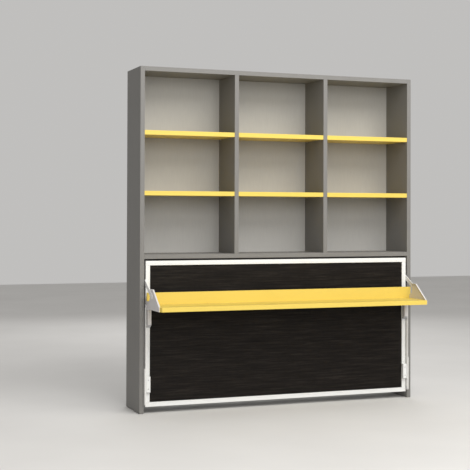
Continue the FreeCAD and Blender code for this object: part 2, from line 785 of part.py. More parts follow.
def end_plate():
    """Left end plate of the desk: rear ear at pivot D, flange along the front and top."""
    front_y, front_z = END_PLATE_FRONT
    step_y, foot_y = END_PLATE_NOTCH
    ear_bottom = DESK_Z - END_PLATE_EAR_DROP
    plate = profile_x(on_left(END_PLATE_X), [
        (front_y, DESK_Z),
        (front_y, front_z),
        (END_PLATE_SHOULDER_Y, END_PLATE_TOP),
        (step_y, END_PLATE_TOP),
        (step_y, END_PLATE_REAR_TOP + END_PLATE_STEP),
        (foot_y, END_PLATE_REAR_TOP),
        (END_PLATE_EAR_Y, END_PLATE_REAR_TOP),
        (END_PLATE_EAR_Y, ear_bottom),
        (BACKBOARD_Y, ear_bottom),
        (foot_y, DESK_Z),
    ])
    rise = END_PLATE_TOP - front_z
    run = END_PLATE_SHOULDER_Y - front_y
    across = FLANGE_T * math.hypot(rise, run) / rise
    start_z = DESK_Z + DESK_T + FLANGE_CLEAR
    start_y = front_y + (start_z - front_z) * run / rise
    inner_z = END_PLATE_TOP - FLANGE_T
    inner_y = END_PLATE_SHOULDER_Y - FLANGE_T * run / rise + across
    flange_x = on_left((END_PLATE_X[0], END_PLATE_X[0] + FLANGE_W))
    flange = profile_x(flange_x, [
        (start_y, start_z),
        (END_PLATE_SHOULDER_Y, END_PLATE_TOP),
        (step_y, END_PLATE_TOP),
        (step_y, inner_z),
        (inner_y, inner_z),
        (start_y + across, start_z),
    ])
    return joined([plate, flange])


def desk_screws(finished=False):
    """Screws through the left end plate into the desk boards, and through the arm."""
    places = [(y, DESK_Z + DESK_T / 2.0) for y in DESK_SCREW_Y]
    places.append((BACKBOARD_Y + BACKBOARD_T / 2.0, BACKBOARD_SCREW_Z))
    inwards = Vector(1, 0, 0)
    screws = []
    for place in places:
        point = Vector(on_left(END_PLATE_X)[0], *place)
        screws.append(screw(point, inwards, DESK_SCREW_LENGTH, finished))
    for along in ARM_SCREWS:
        point = Vector(on_left(ARM_X)[0], *arm_point(along))
        screws.append(screw(point, inwards, END_PLATE_X[1] - ARM_X[0], finished))
    return screws


def desk_top_board(inner):
    """Desk top, its ends cut at a slant in front of the end plates."""
    corner = inner - DESK_SLANT
    half_outline = [
        (-inner, BACKBOARD_Y),
        (-inner, END_PLATE_FRONT[0]),
        (-corner, -DEPTH),
    ]
    outline = half_outline + [(-x, y) for x, y in reversed(half_outline)]
    points = [Vector(x, y, DESK_Z) for x, y in outline]
    face = Part.Face(Part.makePolygon(points + points[:1]))
    blank = face.extrude(Vector(0, 0, DESK_T))
    return blank.makeFillet(EDGE_ROUND, blank.Edges)


def desk_back_board(inner):
    """Upright board whose upper part runs out over the end plates."""
    y = (BACKBOARD_Y, BACKBOARD_Y + BACKBOARD_T)
    end = INNER - BACKBOARD_END
    upper = END_PLATE_REAR_TOP + BACKBOARD_NOTCH
    blank = joined([
        box((-inner, inner), y, (DESK_Z, BACKBOARD_TOP)),
        box((-end, end), y, (upper, BACKBOARD_TOP)),
    ])
    return blank.makeFillet(EDGE_ROUND, blank.Edges)


def link_upper_pin():
    """Left upper link pin, fixed in the end plate's ear."""
    neck = LINK_X[0] - OPEN_HEAD_GAP
    x = on_left((neck, END_PLATE_X[1]))
    head = on_left((neck - PIN_HEAD_T, neck))
    radius = LINK_PIN_R - OPEN_PIVOT_PLAY
    return joined([rod_x(radius, x, *PIVOT_D), rod_x(PIN_HEAD_R, head, *PIVOT_D)])


def make_desk():
    """Write every node that stays level with the desk."""
    screws = desk_screws()
    all_screws = both_sides(screws)
    pin = link_upper_pin()
    inner = -on_left(END_PLATE_X)[1]
    export("desktop", drilled(desk_top_board(inner), all_screws))
    export("desk_backboard", drilled(desk_back_board(inner), all_screws))
    export_sides("desk_end_plate", drilled(end_plate(), screws + [pin]))
    export("desk_arms", pair(drilled(desk_arm(), screws)))
    export("desk_screws", both_sides(desk_screws(True)))
    export("desk_link_pins", pair(pin))


# ---- Links, legs and struts ------------------------------------------------------
def make_links():
    """Write the two bars that keep the desk level."""
    link = bar(on_left(LINK_X), PIVOT_C, PIVOT_D, LINK_W)
    for pivot in (PIVOT_C, PIVOT_D):
        hole_x = on_left((0, LINK_X[1] + PAST))
        link = link.cut(rod_x(LINK_PIN_R + RUNNING, hole_x, *pivot))
    export_sides("link", link)


def leg():
    """Left leg, a channel open towards the bed, with its rubber foot."""
    x = on_left(LEG_X)
    y, z = LEG_PIVOT
    bottom = z - LEG_LENGTH
    outer = joined([box(x, LEG_Y, (bottom + FOOT_SOLE, z)), rod_x(LEG_TOP_R, x, y, z)])
    hollow_x = (x[0] + LEG_WALL, x[1] - LEG_WALL)
    above = z + CHANNEL_OPEN
    hollow = box(hollow_x, (LEG_Y[0] + LEG_WALL, PAST), (bottom, above))
    crown = box(hollow_x, (LEG_Y[0] - PAST, PAST), (z, above))
    past_x = (x[0] - PAST, x[1] + PAST)
    hole = rod_x(LEG_PIN_R + RUNNING, past_x, y, z)
    channel = drilled(outer, [hollow, crown, hole])
    cut_away = profile_x(past_x, [
        (LEG_Y[0] - PAST, bottom + FOOT_SLOPE + FOOT_SOLE),
        (LEG_Y[0] - PAST, bottom - PAST),
        (LEG_Y[1] - FOOT_FLAT, bottom - PAST),
    ])
    plug_x = (hollow_x[0] + FOOT_FIT, hollow_x[1] - FOOT_FIT)
    plug_y = (LEG_Y[0] + LEG_WALL + FOOT_FIT, LEG_Y[1])
    plug = box(plug_x, plug_y, (bottom + FOOT_SOLE, bottom + FOOT_SOLE + FOOT_H))
    sole = box(x, LEG_Y, (bottom, bottom + FOOT_SOLE))
    foot = joined([plug, sole]).cut(cut_away)
    return channel.cut(cut_away), foot


def make_legs():
    """Write the legs and their feet."""
    channel, foot = leg()
    export_sides("leg", channel)
    export_sides("leg_foot", foot)


def strut_geometry():
    """Unit (y, z) from the fixed eye to the moving eye, and their distance."""
    dy = STRUT_MOVING[0] - STRUT_FIXED[0]
    dz = STRUT_MOVING[1] - STRUT_FIXED[1]
    length = math.hypot(dy, dz)
    return (dy / length, dz / length), length


def along_strut(radius, start, end):
    """Round bar on the left strut's axis, from start to end below the fixed eye."""
    (dy, dz), _ = strut_geometry()
    x = STRUT_X - INNER
    origin = Vector(x, STRUT_FIXED[0] + dy * start, STRUT_FIXED[1] + dz * start)
    return Part.makeCylinder(radius, end - start, origin, Vector(0, dy, dz))


def make_struts():
    """Write the gas struts' barrels and rods."""
    _, length = strut_geometry()
    x = on_left((STRUT_X - EYE_T / 2.0, STRUT_X + EYE_T / 2.0))
    barrel_end = EYE_NECK + BARREL_LENGTH
    eye = rod_x(EYE_R, x, *STRUT_FIXED)
    neck = along_strut(NECK_R, 0, EYE_NECK + NECK_OVERLAP)
    barrel = joined([eye, neck, along_strut(BARREL_R, EYE_NECK, barrel_end)])
    eye_hole_x = (x[0] - PAST, x[1] + PAST)
    barrel = barrel.cut(rod_x(STUD_R + RUNNING, eye_hole_x, *STRUT_FIXED))
    bore = along_strut(ROD_R + ROD_PLAY, EYE_NECK + BARREL_CAP, barrel_end + PAST)
    export_sides("gas_strut_barrel", barrel.cut(bore))
    rod = along_strut(ROD_R, barrel_end - ROD_INSERTED, length)
    lower_eye = rod_x(EYE_R, x, *STRUT_MOVING)
    stud = rod_x(STUD_R, (x[0], x[1] + STUD_PROUD), *STRUT_MOVING)
    export_sides("gas_strut_rod", joined([rod, lower_eye, stud]))


def main():
    os.makedirs("parts", exist_ok=True)
    make_cabinet()
    make_bed()
    make_desk()
    make_links()
    make_legs()
    make_struts()


main()
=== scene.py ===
import math

import bmesh
import bpy
from mathutils import Matrix, Vector, noise


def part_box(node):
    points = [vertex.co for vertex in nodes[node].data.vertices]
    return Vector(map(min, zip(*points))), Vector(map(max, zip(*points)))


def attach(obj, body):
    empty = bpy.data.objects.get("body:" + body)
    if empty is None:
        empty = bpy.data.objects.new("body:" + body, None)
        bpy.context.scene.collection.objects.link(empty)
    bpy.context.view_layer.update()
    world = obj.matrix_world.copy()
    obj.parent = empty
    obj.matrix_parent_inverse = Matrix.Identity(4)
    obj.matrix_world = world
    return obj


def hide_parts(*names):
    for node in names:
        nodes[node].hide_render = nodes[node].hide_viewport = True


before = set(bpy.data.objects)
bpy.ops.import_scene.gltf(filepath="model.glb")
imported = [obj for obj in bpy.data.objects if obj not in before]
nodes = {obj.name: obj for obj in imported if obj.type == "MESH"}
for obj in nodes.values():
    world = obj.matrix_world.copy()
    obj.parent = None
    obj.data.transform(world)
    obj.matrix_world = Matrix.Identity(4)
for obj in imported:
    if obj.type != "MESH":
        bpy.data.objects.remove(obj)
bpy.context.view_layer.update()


# ---- Materials -------------------------------------------------------------------
EVEN = (1, 1, 1)  # a texture that isn't stretched along any axis
NOISE_LOW, NOISE_HIGH = 0.25, 0.75  # nearly all of a noise texture's values lie between
FACTOR, COLOUR_A, COLOUR_B = 0, 6, 7  # inputs of a Mix node in colour mode
MIXED = 2  # and its output
X, Z = 0, 2  # outputs of a Separate XYZ node
RAMP_LOW, RAMP_HIGH = 0.3, 0.7
PLAIN = (1.0, 1.0, 1.0)  # leaves the colour that it is multiplied with as it is


class Mat:
    """A node material on Object coordinates, which are the row frame in metres."""

    def __init__(self, name):
        self.mat = bpy.data.materials.new(name)
        self.mat.use_nodes = True
        self.tree = self.mat.node_tree
        self.bsdf = self.tree.nodes["Principled BSDF"]
        self.coords = self.tree.nodes.new("ShaderNodeTexCoord").outputs["Object"]

    def node(self, kind, **values):
        """New node; a value goes to the node's property or else to its input."""
        made = self.tree.nodes.new("ShaderNode" + kind)
        for key, value in values.items():
            if hasattr(made, key) and key not in made.inputs:
                setattr(made, key, value)
            else:
                self.put(made.inputs[key], value)
        return made

    def put(self, socket, value):
        """Link another node's output to a socket, or set the socket's own value."""
        if isinstance(value, bpy.types.NodeSocket):
            self.tree.links.new(value, socket)
        elif isinstance(value, tuple) and len(value) == 3 and socket.type == "RGBA":
            socket.default_value = (*value, 1.0)
        else:
            socket.default_value = value

    def scaled(self, scale):
        return self.node("Mapping", Vector=self.coords, Scale=scale).outputs["Vector"]

    def noise(self, size=1.0, scale=EVEN, detail=3.0, roughness=0.55, distortion=0.0):
        made = self.node("TexNoise", Vector=self.scaled(scale), Scale=size, Detail=detail)
        made.inputs["Roughness"].default_value = roughness
        made.inputs["Distortion"].default_value = distortion
        return made.outputs[0]

    def ramp(self, fac, *stops):
        """Colour ramp whose stops are pairs of place and colour."""
        made = self.node("ValToRGB", Fac=fac)
        elements = made.color_ramp.elements
        while len(elements) < len(stops):
            elements.new(0.5)
        for element, (place, colour) in zip(elements, stops):
            element.position = place
            element.color = (*colour, 1.0)
        return made.outputs["Color"]

    def between(self, fac, dark, light):
        """Colour that goes from dark to light as a noise rises."""
        return self.ramp(fac, (RAMP_LOW, dark), (RAMP_HIGH, light))

    def spread(self, fac, low, high):
        """A noise's values stretched to run from low to high."""
        made = self.node("MapRange", Value=fac)
        limits = {"From Min": NOISE_LOW, "From Max": NOISE_HIGH, "To Min": low, "To Max": high}
        for name, value in limits.items():
            made.inputs[name].default_value = value
        return made.outputs["Result"]

    def multiplied(self, a, b, share=1.0):
        made = self.tree.nodes.new("ShaderNodeMix")
        made.data_type = "RGBA"
        made.blend_type = "MULTIPLY"
        for index, value in ((FACTOR, share), (COLOUR_A, a), (COLOUR_B, b)):
            self.put(made.inputs[index], value)
        return made.outputs[MIXED]

    def math(self, operation, a, b=0.0):
        made = self.node("Math", operation=operation)
        self.put(made.inputs[0], a)
        self.put(made.inputs[1], b)
        return made.outputs[0]

    def bump(self, height, depth, strength, over=None):
        """Bump of a depth in metres, laid over another bump if one is given."""
        made = self.node("Bump", Height=height, Distance=depth, Strength=strength)
        if over is not None:
            self.put(made.inputs["Normal"], over)
        return made.outputs["Normal"]

    def done(self, **values):
        for key, value in values.items():
            self.put(self.bsdf.inputs[key.replace("_", " ")], value)
        return self.mat


def tint(colour, k):
    return tuple(min(1.0, channel * k) for channel in colour)


def stretched(size, along):
    return tuple(size * a for a in along)


def board_material(name, colour, along=(1, 1, 0.12), contrast=0.05, rough=0.55):
    """Melamine board: a soft cloud, a faint grain along the board, and a fine grained skin."""
    m = Mat(name)
    cloud = m.noise(3.0, detail=2.0)
    grain = m.noise(scale=stretched(90, along), detail=4.0, roughness=0.6, distortion=0.3)
    base = m.between(grain, tint(colour, 1 - contrast), tint(colour, 1 + contrast))
    shade = m.between(cloud, (0.95, 0.95, 0.95), PLAIN)
    skin = m.noise(700.0)
    grooves = m.bump(grain, depth=0.00012, strength=0.5)
    return m.done(
        Base_Color=m.multiplied(base, shade),
        Roughness=m.spread(grain, rough - 0.06, rough + 0.06),
        Specular_IOR_Level=0.35,
        Normal=m.bump(skin, depth=0.00015, strength=0.35, over=grooves),
    )


def lacquer(name, colour, rough=0.38):
    """Lacquered board: even colour, slight orange peel and a little handling in the sheen."""
    m = Mat(name)
    cloud = m.noise(2.2, detail=2.0)
    peel = m.noise(260.0, detail=2.0)
    handling = m.noise(14.0, detail=4.0)
    return m.done(
        Base_Color=m.between(cloud, tint(colour, 0.96), colour),
        Roughness=m.spread(handling, rough - 0.06, rough + 0.08),
        Specular_IOR_Level=0.35,
        Normal=m.bump(peel, depth=0.0003, strength=0.25),
    )


def powder_coat(name, colour, rough=0.42):
    """Powder coat: fine pimpled skin with a soft sheen."""
    m = Mat(name)
    skin = m.noise(900.0, detail=2.0)
    cloud = m.noise(9.0)
    return m.done(
        Base_Color=m.between(cloud, tint(colour, 0.97), colour),
        Roughness=m.spread(cloud, rough - 0.05, rough + 0.07),
        Normal=m.bump(skin, depth=0.0002, strength=0.3),
    )


def bare_metal(name, colour, rough, along=EVEN):
    """Plated or turned metal with fine working marks."""
    m = Mat(name)
    marks = m.noise(scale=stretched(500, along), detail=4.0)
    blotch = m.noise(60.0)
    return m.done(
        Base_Color=m.between(blotch, tint(colour, 0.86), colour),
        Metallic=1.0,
        Roughness=m.spread(marks, rough - 0.08, rough + 0.12),
        Normal=m.bump(marks, depth=0.0001, strength=0.3),
    )


def plastic(name, colour, rough=0.5):
    """Moulded plastic: fine spark-eroded skin and a slightly uneven colour."""
    m = Mat(name)
    skin = m.noise(1200.0, detail=2.0)
    cloud = m.noise(25.0)
    return m.done(
        Base_Color=m.between(cloud, tint(colour, 0.9), colour),
        Roughness=m.spread(cloud, rough - 0.05, rough + 0.08),
        Normal=m.bump(skin, depth=0.0002, strength=0.4),
    )


def wenge():
    """Near-black brown board with fine pores and streaks that run along its length."""
    m = Mat("wenge_panel")
    broad = m.noise(scale=(3.6, 20, 72), detail=4.0, roughness=0.62, distortion=0.12)
    fine = m.noise(scale=(9, 60, 360), detail=5.0, roughness=0.65, distortion=0.1)
    pores = m.noise(scale=(26, 200, 900), roughness=0.6)
    base = m.ramp(
        broad,
        (0.28, (0.0055, 0.0045, 0.0038)),
        (0.5, (0.0105, 0.0086, 0.0072)),
        (0.74, (0.0210, 0.0176, 0.0146)),
    )
    streaks = m.ramp(fine, (0.3, (0.45, 0.44, 0.43)), (0.62, (1.25, 1.24, 1.22)))
    dark = m.ramp(pores, (0.34, (0.35, 0.35, 0.35)), (0.46, PLAIN))
    grooves = m.bump(fine, depth=0.0005, strength=0.55)
    return m.done(
        Base_Color=m.multiplied(m.multiplied(base, streaks), dark),
        Roughness=m.spread(fine, 0.66, 0.50),
        Specular_IOR_Level=0.10,
        Normal=m.bump(pores, depth=0.0004, strength=0.5, over=grooves),
    )


def birch():
    """Bent birch laminate: pale grain along Z and thin glue lines in its edge."""
    m = Mat("birch_laminate")
    grain = m.noise(scale=(150, 30, 5), detail=4.0, roughness=0.6, distortion=0.6)
    layers = m.node("TexWave", Vector=m.scaled(EVEN), Scale=100.0, Distortion=0.4)
    layers.bands_direction = "Y"
    base = m.ramp(
        grain,
        (0.25, (0.50, 0.33, 0.17)),
        (0.5, (0.66, 0.47, 0.27)),
        (0.75, (0.76, 0.58, 0.37)),
    )
    lines = m.ramp(layers.outputs[0], (0.0, (0.62, 0.55, 0.48)), (0.22, PLAIN))
    return m.done(
        Base_Color=m.multiplied(base, lines, share=0.6),
        Roughness=m.spread(grain, 0.42, 0.58),
        Normal=m.bump(grain, depth=0.0003, strength=0.5),
    )


def woven(name, dark, light, pitch):
    """Plain weave: two crossed sets of threads, a pitch apart along X and Z."""
    m = Mat(name)
    split = m.node("SeparateXYZ", Vector=m.coords)
    across, along = (
        m.math("SINE", m.math("MULTIPLY", split.outputs[axis], 2 * math.pi / pitch))
        for axis in (X, Z)
    )
    weave = m.math("MULTIPLY", across, along)
    height = m.math("ADD", m.math("MULTIPLY", weave, 0.5), 0.5)
    fuzz = m.noise(420.0, detail=4.0, roughness=0.7)
    cloud = m.noise(4.0)
    shade = m.math("ADD", m.math("MULTIPLY", height, 0.55), m.math("MULTIPLY", fuzz, 0.45))
    base = m.ramp(shade, (0.2, dark), (0.75, light))
    tone = m.between(cloud, (0.93, 0.92, 0.91), PLAIN)
    nap = m.bump(fuzz, depth=0.0003, strength=0.5)
    return m.done(
        Base_Color=m.multiplied(base, tone),
        Roughness=m.spread(fuzz, 0.82, 0.95),
        Specular_IOR_Level=0.2,
        Sheen_Weight=0.3,
        Normal=m.bump(height, depth=0.0004, strength=0.6, over=nap),
    )


GREY = (0.182, 0.176, 0.166)
ALONG_X = (0.12, 1, 1)  # grain of a level board; other boards have it along Z
ALONG_ROD = (0.2, 0.2, 0.02)

grey_upright = board_material("grey_upright_board", GREY)
grey_level = board_material("grey_level_board", GREY, along=ALONG_X)
back_board = board_material("back_board", (0.36, 0.352, 0.335), contrast=0.03, rough=0.6)
yellow = lacquer("yellow_lacquer", (0.70, 0.52, 0.100))
white_coat = powder_coat("white_powder_coat", (0.735, 0.738, 0.725))
pale_coat = powder_coat("pale_grey_powder_coat", (0.60, 0.58, 0.575), rough=0.38)
# A real light powder coat, made whiter than the frame's white coat: painted light that makes
# up for the shade the recessed links sit in.
link_coat_with_painted_light = powder_coat("link_powder_coat_with_painted_light", (0.78, 0.77, 0.75), rough=0.36)
black_coat = powder_coat("black_enamel", (0.012, 0.012, 0.013), rough=0.3)
zinc = bare_metal("zinc_plate", (0.62, 0.62, 0.63), rough=0.34)
polished = bare_metal("polished_rod", (0.78, 0.78, 0.80), rough=0.14, along=ALONG_ROD)
bronze = bare_metal("sintered_bronze", (0.55, 0.36, 0.16), rough=0.42)
grey_plastic = plastic("grey_plastic", (0.16, 0.16, 0.17))
pale_plastic = plastic("pale_grey_plastic", (0.42, 0.42, 0.43), rough=0.45)
white_plastic = plastic("white_plastic", (0.78, 0.775, 0.75), rough=0.4)
rubber = plastic("black_rubber", (0.014, 0.014, 0.014), rough=0.78)
thread = plastic("sewing_thread", (0.30, 0.30, 0.31), rough=0.7)
dark_panel = wenge()
slat_wood = birch()
ticking = woven("mattress_ticking", (0.60, 0.585, 0.55), (0.84, 0.83, 0.80), pitch=0.0042)
ticking_side = woven("mattress_border", (0.36, 0.36, 0.37), (0.56, 0.56, 0.57), pitch=0.0036)
webbing = woven("strap_webbing", (0.012, 0.012, 0.014), (0.07, 0.07, 0.075), pitch=0.0030)

FINISH = {
    grey_upright: "side_panel_left side_panel_right divider_left divider_right",
    grey_level: "top_panel bed_top_board rear_rail_upper rear_rail_lower",
    back_board: "back_panel",
    yellow: "shelf_upper_left shelf_upper_middle shelf_upper_right shelf_lower_left "
            "shelf_lower_middle shelf_lower_right desktop desk_backboard",
    dark_panel: "front_panel",
    white_coat: "frame_top_rail frame_bottom_rail frame_upright_left frame_upright_right "
                "pivot_covers",
    pale_coat: "desk_end_plate_left desk_end_plate_right leg_left leg_right leg_lugs",
    # Whiter than the frame's coat: painted light in place of the shade on the links.
    link_coat_with_painted_light: "desk_arms link_left link_right hinge_plates centre_beam closing_stops "
               "strut_anchors strut_brackets",
    black_coat: "gas_strut_barrel_left gas_strut_barrel_right mattress_guards",
    zinc: "cam_fittings shelf_pins hinge_plate_screws cabinet_pivot_pins frame_pivot_pins "
          "desk_link_pins desk_screws pivot_cover_screws front_panel_clips",
    polished: "gas_strut_rod_left gas_strut_rod_right",
    bronze: "pivot_bushes",
    grey_plastic: "slat_holders levelling_glides",
    pale_plastic: "leg_foot_left leg_foot_right",
    white_plastic: "frame_end_caps",
    rubber: "stop_buffers",
    slat_wood: "slats",
    ticking: "mattress",
    webbing: "mattress_straps",
}
for finish, names in FINISH.items():
    for name in names.split():
        nodes[name].data.materials.clear()
        nodes[name].data.materials.append(finish)


# ---- Mesh helpers ----------------------------------------------------------------
def add_mesh(name, bm, material, smooth=60.0):
    """New object from a bmesh, shaded smooth below an angle in degrees."""
    mesh = bpy.data.meshes.new(name)
    bm.normal_update()
    bm.to_mesh(mesh)
    bm.free()
    for face in mesh.polygons:
        face.use_smooth = True
    mesh.set_sharp_from_angle(angle=math.radians(smooth))
    mesh.materials.append(material)
    piece = bpy.data.objects.new(name, mesh)
    bpy.context.scene.collection.objects.link(piece)
    return piece


def joined(bm, first, second):
    """Quads between two rings of vertices."""
    count = len(first)
    quads = []
    for k in range(count):
        m = (k + 1) % count
        quads.append(bm.faces.new((first[k], first[m], second[m], second[k])))
    return quads


def skinned(bm, rings):
    """Skin over rings of vertices along an open path, with both ends capped."""
    for first, second in zip(rings, rings[1:]):
        joined(bm, first, second)
    bm.faces.new(rings[0][::-1])
    bm.faces.new(rings[-1])


def round_ring(bm, centre, radius, a_axis, b_axis, sides):
    """New vertices on a circle in the plane of two axes."""
    turns = (2 * math.pi * side / sides for side in range(sides))
    return [
        bm.verts.new(centre + radius * (math.cos(a) * a_axis + math.sin(a) * b_axis))
        for a in turns
    ]


def facing_out(bm):
    bmesh.ops.recalc_face_normals(bm, faces=bm.faces)


# ---- Mattress --------------------------------------------------------------------
CORNER = 0.055  # radius of the mattress's corners, seen from its face
COLUMNS, ROWS, LAYERS = 190, 90, 14  # quads along X, along Z and through the thickness
SINE_SHARE = 0.35  # how much a sine crowds the grid's lines near the edges
SINE_SPAN = 0.93

FACE_INSET = 0.006  # from the box to the edge of a face
EDGE_DROP, EDGE_FADE = 0.006, 0.012  # rounding of a face towards its edge
QUILT_PITCH = 0.16  # of the sewn diamonds, along X and along Z
SEAM_DEPTH = 0.0105  # of a seam under the box
PUFF, PUFF_FADE = 0.0075, 0.05  # rise between the seams, and its way in from the edge
CROWN, CROWN_FADE = 0.0025, 0.14
RIPPLE, RIPPLES_PER_METRE = 0.0012, 9.0
RIPPLE_PLANE = 3.0  # the cut through the noise that the ripple uses

CORNER_REACH = 1.6  # in corner radii: where a border point begins to face round a corner
BORDER_BULGE = 0.0048
TUFT_DEPTH, TUFTS = 0.0016, 3  # the border's sewn lines
BORDER_WAVE, WAVES_PER_METRE, WAVES_ACROSS = 0.0006, 6.0, 2.0

PIPING_RADIUS, PIPING_SIDES = 0.0038, 8
PIPING_INSET = 0.0045  # inside the mattress's outline
PIPING_DEPTH = 0.0135  # under the face of the box
ARC_STEPS = 8  # of the piping round one corner


def centre_and_half(node):
    low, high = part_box(node)
    return (low + high) / 2.0, (high - low) / 2.0


def crowded(step, steps):
    """Place of a grid line in -1..1; the lines are closer together near both ends."""
    sine = math.sin((step / steps - 0.5) * math.pi * SINE_SPAN)
    sine /= math.sin(math.pi * (SINE_SPAN / 2.0))
    return SINE_SHARE * sine + (1.0 - SINE_SHARE) * (2.0 * step / steps - 1.0)


def rounded(u, v, half):
    """Point inside the face's rounded rectangle, from u and v in -1..1."""
    wide, tall = half.x - FACE_INSET, half.z - FACE_INSET
    x, z = u * wide, v * tall
    dx, dz = abs(x) - (wide - CORNER), abs(z) - (tall - CORNER)
    if dx > 0 and dz > 0:
        pull = max(dx, dz) / math.hypot(dx, dz)
        x = math.copysign(wide - CORNER + dx * pull, x)
        z = math.copysign(tall - CORNER + dz * pull, z)
    return x, z


def quilting(x, z, edge):
    """Depth of the face under the box at a point, for its distance from the edge."""
    a = (x + z) / QUILT_PITCH
    b = (x - z) / QUILT_PITCH
    seam = min(abs(a - round(a)), abs(b - round(b))) * 2.0
    puff = PUFF * (1.0 - (1.0 - seam) ** 3) * min(1.0, edge / PUFF_FADE)
    crown = CROWN * (1.0 - (1.0 - min(1.0, edge / CROWN_FADE)) ** 2)
    place = Vector((x * RIPPLES_PER_METRE, z * RIPPLES_PER_METRE, RIPPLE_PLANE))
    return SEAM_DEPTH - puff - crown - noise.noise(place) * RIPPLE


def quilted_face(bm, side, centre, half):
    """One face of the mattress; returns its vertices by column and row."""
    grid = {}
    for i in range(COLUMNS + 1):
        for j in range(ROWS + 1):
            x, z = rounded(crowded(i, COLUMNS), crowded(j, ROWS), half)
            edge = min(half.x - abs(x), half.z - abs(z))
            drop = EDGE_DROP * math.exp(-edge / EDGE_FADE)
            y = side * (half.y - quilting(x, z, edge) - drop)
            grid[i, j] = bm.verts.new(Vector((x, y, z)) + centre)
    for i in range(COLUMNS):
        for j in range(ROWS):
            quad = [grid[i, j], grid[i + 1, j], grid[i + 1, j + 1], grid[i, j + 1]]
            bm.faces.new(quad if side < 0 else quad[::-1])
    return grid


def border_push(point, t, centre, half):
    """How far a point of the border moves out, t of the way from front to back."""
    def way(offset, size):
        return math.copysign(max(0.0, abs(offset) - size + CORNER * CORNER_REACH), offset)

    out = Vector((way(point.x - centre.x, half.x), 0.0, way(point.z - centre.z, half.z)))
    place = (point.x * WAVES_PER_METRE, t * WAVES_ACROSS, point.z * WAVES_PER_METRE)
    bulge = 1.0 - (2.0 * t - 1.0) ** 4
    tuft = 0.5 + 0.5 * math.cos(2 * math.pi * t * TUFTS)
    wave = BORDER_WAVE * noise.noise(Vector(place))
    return out.normalized() * (BORDER_BULGE * bulge - TUFT_DEPTH * tuft * bulge + wave)


def mattress():
    """Quilted mattress: crowned faces, sewn diamonds, soft corners and a tufted border."""
    centre, half = centre_and_half("mattress")
    bm = bmesh.new()
    front, back = (quilted_face(bm, side, centre, half) for side in (-1, 1))
    rim = [(i, 0) for i in range(COLUMNS)]
    rim += [(COLUMNS, j) for j in range(ROWS)]
    rim += [(i, ROWS) for i in range(COLUMNS, 0, -1)]
    rim += [(0, j) for j in range(ROWS, 0, -1)]
    rings = [[front[key] for key in rim]]
    for layer in range(1, LAYERS):
        t = layer / LAYERS
        points = [front[key].co.lerp(back[key].co, t) for key in rim]
        rings.append([
            bm.verts.new(point + border_push(point, t, centre, half)) for point in points
        ])
    rings.append([back[key] for key in rim])
    for first, second in zip(rings, rings[1:]):
        for face in joined(bm, first, second):
            face.material_index = 1
    facing_out(bm)
    piece = add_mesh("mattress_quilted", bm, ticking)
    piece.data.materials.append(ticking_side)
    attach(piece, "bed")
    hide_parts("mattress")


def mattress_piping(name, side):
    """Round piping along one edge of the mattress, as one closed tube."""
    centre, half = centre_and_half("mattress")
    y = centre.y + side * (half.y - PIPING_DEPTH)
    radius = CORNER - PIPING_INSET
    points = []
    for sx, sz, start in ((1, 1, 0), (-1, 1, 90), (-1, -1, 180), (1, -1, 270)):
        x = centre.x + sx * (half.x - CORNER)
        z = centre.z + sz * (half.z - CORNER)
        for step in range(ARC_STEPS + 1):
            a = math.radians(start + step * 90 / ARC_STEPS)
            points.append(Vector((x + radius * math.cos(a), y, z + radius * math.sin(a))))
    bm = bmesh.new()
    rings = []
    for n, point in enumerate(points):
        ahead = (points[(n + 1) % len(points)] - points[n - 1]).normalized()
        out = ahead.cross(Vector((0, 1, 0))).normalized()
        over = out.cross(ahead)
        rings.append(round_ring(bm, point, PIPING_RADIUS, out, over, PIPING_SIDES))
    for first, second in zip(rings, rings[1:] + rings[:1]):
        joined(bm, first, second)
    facing_out(bm)
    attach(add_mesh(name, bm, ticking_side), "bed")


# ---- Straps ----------------------------------------------------------------------
STRAP_WIDTH, STRAP_THICK = 0.0385, 0.0017
STRAP_FROM_END = 0.020  # from the CAD bands' outer ends to a strap's middle line
STRAP_CLEAR = 0.0002  # between a strap and what it lies on, along Y
STRAP_LOOSE = 0.0010  # and along Z
STRAP_RADII = (0, 0.006, 0.016, 0.016, 0.006, 0)  # where it turns at each corner
STRAP_TUCK = 0.002  # its ends stop short of the CAD bands' by this
STRAP_STEP = 0.012  # longest quad along a strap
TURN_STEPS = 6  # quads round one corner
ACROSS = 6  # and across the width
BORDER_THINNING, BORDER_POWER = 0.55, 6  # how a strap thins towards its two borders

FOLD_START, FOLD_STEP, FOLD_POINTS = 0.0008, 0.0018, 12  # the end that is folded over
FOLD_NARROWER = 0.001
FOLD_SURFACE = 1.5  # in thicknesses: from the strap's middle to the fold's outside

STITCH_LENGTH, STITCH_RADIUS = 0.0026, 0.00045
STITCH_RISE = 1.2  # in radii, at the middle of a stitch
STITCH_TIP = 0.45  # radius at its ends, in radii
STITCH_SIDES = 6
STITCH_PLACES = (0.0, 0.2, 0.5, 0.8, 1.0)  # of its rings, from end to end
STITCH_EDGE = 0.0165  # from a strap's middle line to the stitches along its borders
CROSS_ROWS = (0.003, 0.0175)  # from a strap's end to the stitches that run across it
CROSS_PITCH, CROSS_COUNT = 0.0034, 10
LONG_START = 0.0036  # from its end to the first stitch along a border
LONG_PITCH, LONG_COUNT = 0.0035, 4
BACKWARD = Vector((0, 1, 0))  # the sewn ends face the back


def rounded_path(corners, radii):
    """Points of an open path with square corners that are turned on arcs."""
    points = [corners[0]]
    for n in range(1, len(corners) - 1):
        before, here, after = corners[n - 1], corners[n], corners[n + 1]
        back = (before - here).normalized()
        on = (after - here).normalized()
        centre = here + (back + on) * radii[n]
        start = here + back * radii[n] - centre
        end = here + on * radii[n] - centre
        for step in range(TURN_STEPS + 1):
            a = step / TURN_STEPS * math.pi / 2.0
            points.append(centre + start * math.cos(a) + end * math.sin(a))
    points.append(corners[-1])
    return points


